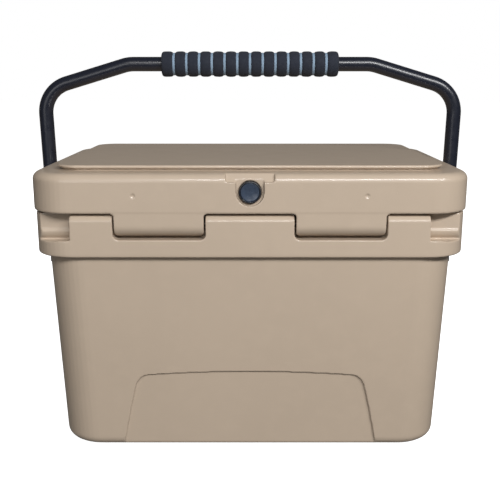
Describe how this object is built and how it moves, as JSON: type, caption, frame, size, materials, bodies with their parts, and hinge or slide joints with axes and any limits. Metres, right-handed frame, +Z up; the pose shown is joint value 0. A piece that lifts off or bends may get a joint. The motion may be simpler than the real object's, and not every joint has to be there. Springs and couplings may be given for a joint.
{
  "type": "cooler chest",
  "caption": "Rotomoulded foam-filled cooler chest with a hinged lid, rubber T latches, push-to-vent valve, tie-down notches and a folding bail handle with a foam grip.",
  "frame": {"origin": "on the floor, under the middle of the chest", "axes": "+X along the width towards the right handle pivot when the hinge side faces the viewer, +Y from the hinge side to the latch side, +Z up"},
  "size_m": [0.529, 0.318, 0.4618],
  "materials": {
    "tan_shell": "matte",
    "foam": "matte",
    "rubber": "matte",
    "steel": "satin",
    "insert_brass": "satin",
    "bearing_plastic": "satin",
    "black_tube": "satin",
    "black_plastic": "satin",
    "grip_foam": "matte"
  },
  "bodies": {
    "body": {"body_shell": "tan_shell", "body_foam_core": "foam", "body_fill_plug": "tan_shell", "hinge_pin": "steel", "hinge_cap_left": "tan_shell", "hinge_cap_right": "tan_shell", "foot_rear_left": "rubber", "foot_front_left": "rubber", "foot_rear_right": "rubber", "foot_front_right": "rubber", "foot_screw_rear_left": "steel", "foot_screw_front_left": "steel", "foot_screw_rear_right": "steel", "foot_screw_front_right": "steel", "latch_keeper_left": "steel", "latch_keeper_right": "steel", "pivot_bolt_left": "steel", "pivot_bolt_right": "steel", "pivot_washer_left": "bearing_plastic", "pivot_washer_right": "bearing_plastic", "pivot_insert_left": "insert_brass", "pivot_insert_right": "insert_brass", "keeper_screw_left_a": "steel", "keeper_screw_left_b": "steel", "keeper_screw_right_a": "steel", "keeper_screw_right_b": "steel"},
    "lid": {"lid_shell": "tan_shell", "lid_foam_core": "foam", "lid_fill_plug": "tan_shell", "lid_gasket": "rubber", "latch_pin_left": "steel", "latch_pin_right": "steel", "valve_body": "black_plastic", "valve_seal": "rubber", "valve_spring": "steel"},
    "valve_cap": {"valve_button": "black_plastic"},
    "latch_l": {"latch_left": "rubber"},
    "latch_r": {"latch_right": "rubber"},
    "handle_carrier": {"pivot_bush_left": "bearing_plastic", "pivot_bush_right": "bearing_plastic"},
    "handle": {"handle_tube": "black_tube", "handle_grip": "grip_foam", "handle_fitting_left": "black_plastic", "handle_fitting_right": "black_plastic", "handle_rivet_left": "steel", "handle_rivet_right": "steel"}
  },
  "joints": [
    {"name": "lid_hinge", "type": "hinge", "parent": "body", "child": "lid", "pos_m": [0, -0.146, 0.2735], "axis": [1, 0, 0], "range_deg": [0, 95]},
    {"name": "handle_follow", "type": "hinge", "parent": "body", "child": "handle_carrier", "pos_m": [0, 0, 0.185], "axis": [1, 0, 0], "range_deg": [0, 123.5]},
    {"name": "handle_swing", "type": "hinge", "parent": "handle_carrier", "child": "handle", "pos_m": [0, 0, 0.185], "axis": [1, 0, 0], "range_deg": [-125, 0]},
    {"name": "latch_left_swing", "type": "hinge", "parent": "lid", "child": "latch_l", "pos_m": [-0.12, 0.151, 0.3135], "axis": [1, 0, 0], "range_deg": [0, 100]},
    {"name": "latch_right_swing", "type": "hinge", "parent": "lid", "child": "latch_r", "pos_m": [0.12, 0.151, 0.3135], "axis": [1, 0, 0], "range_deg": [0, 100]},
    {"name": "valve_push", "type": "slide", "parent": "lid", "child": "valve_cap", "axis": [0, 1, 0], "range_m": [0, 0.0025], "stiffness_N_per_m": 300, "springref_m": -0.0005, "deforming": ["valve_spring"]}
  ],
  "couplings": [
    {"joint": "handle_follow", "follows": "lid_hinge", "ratio": 1.3}
  ]
}
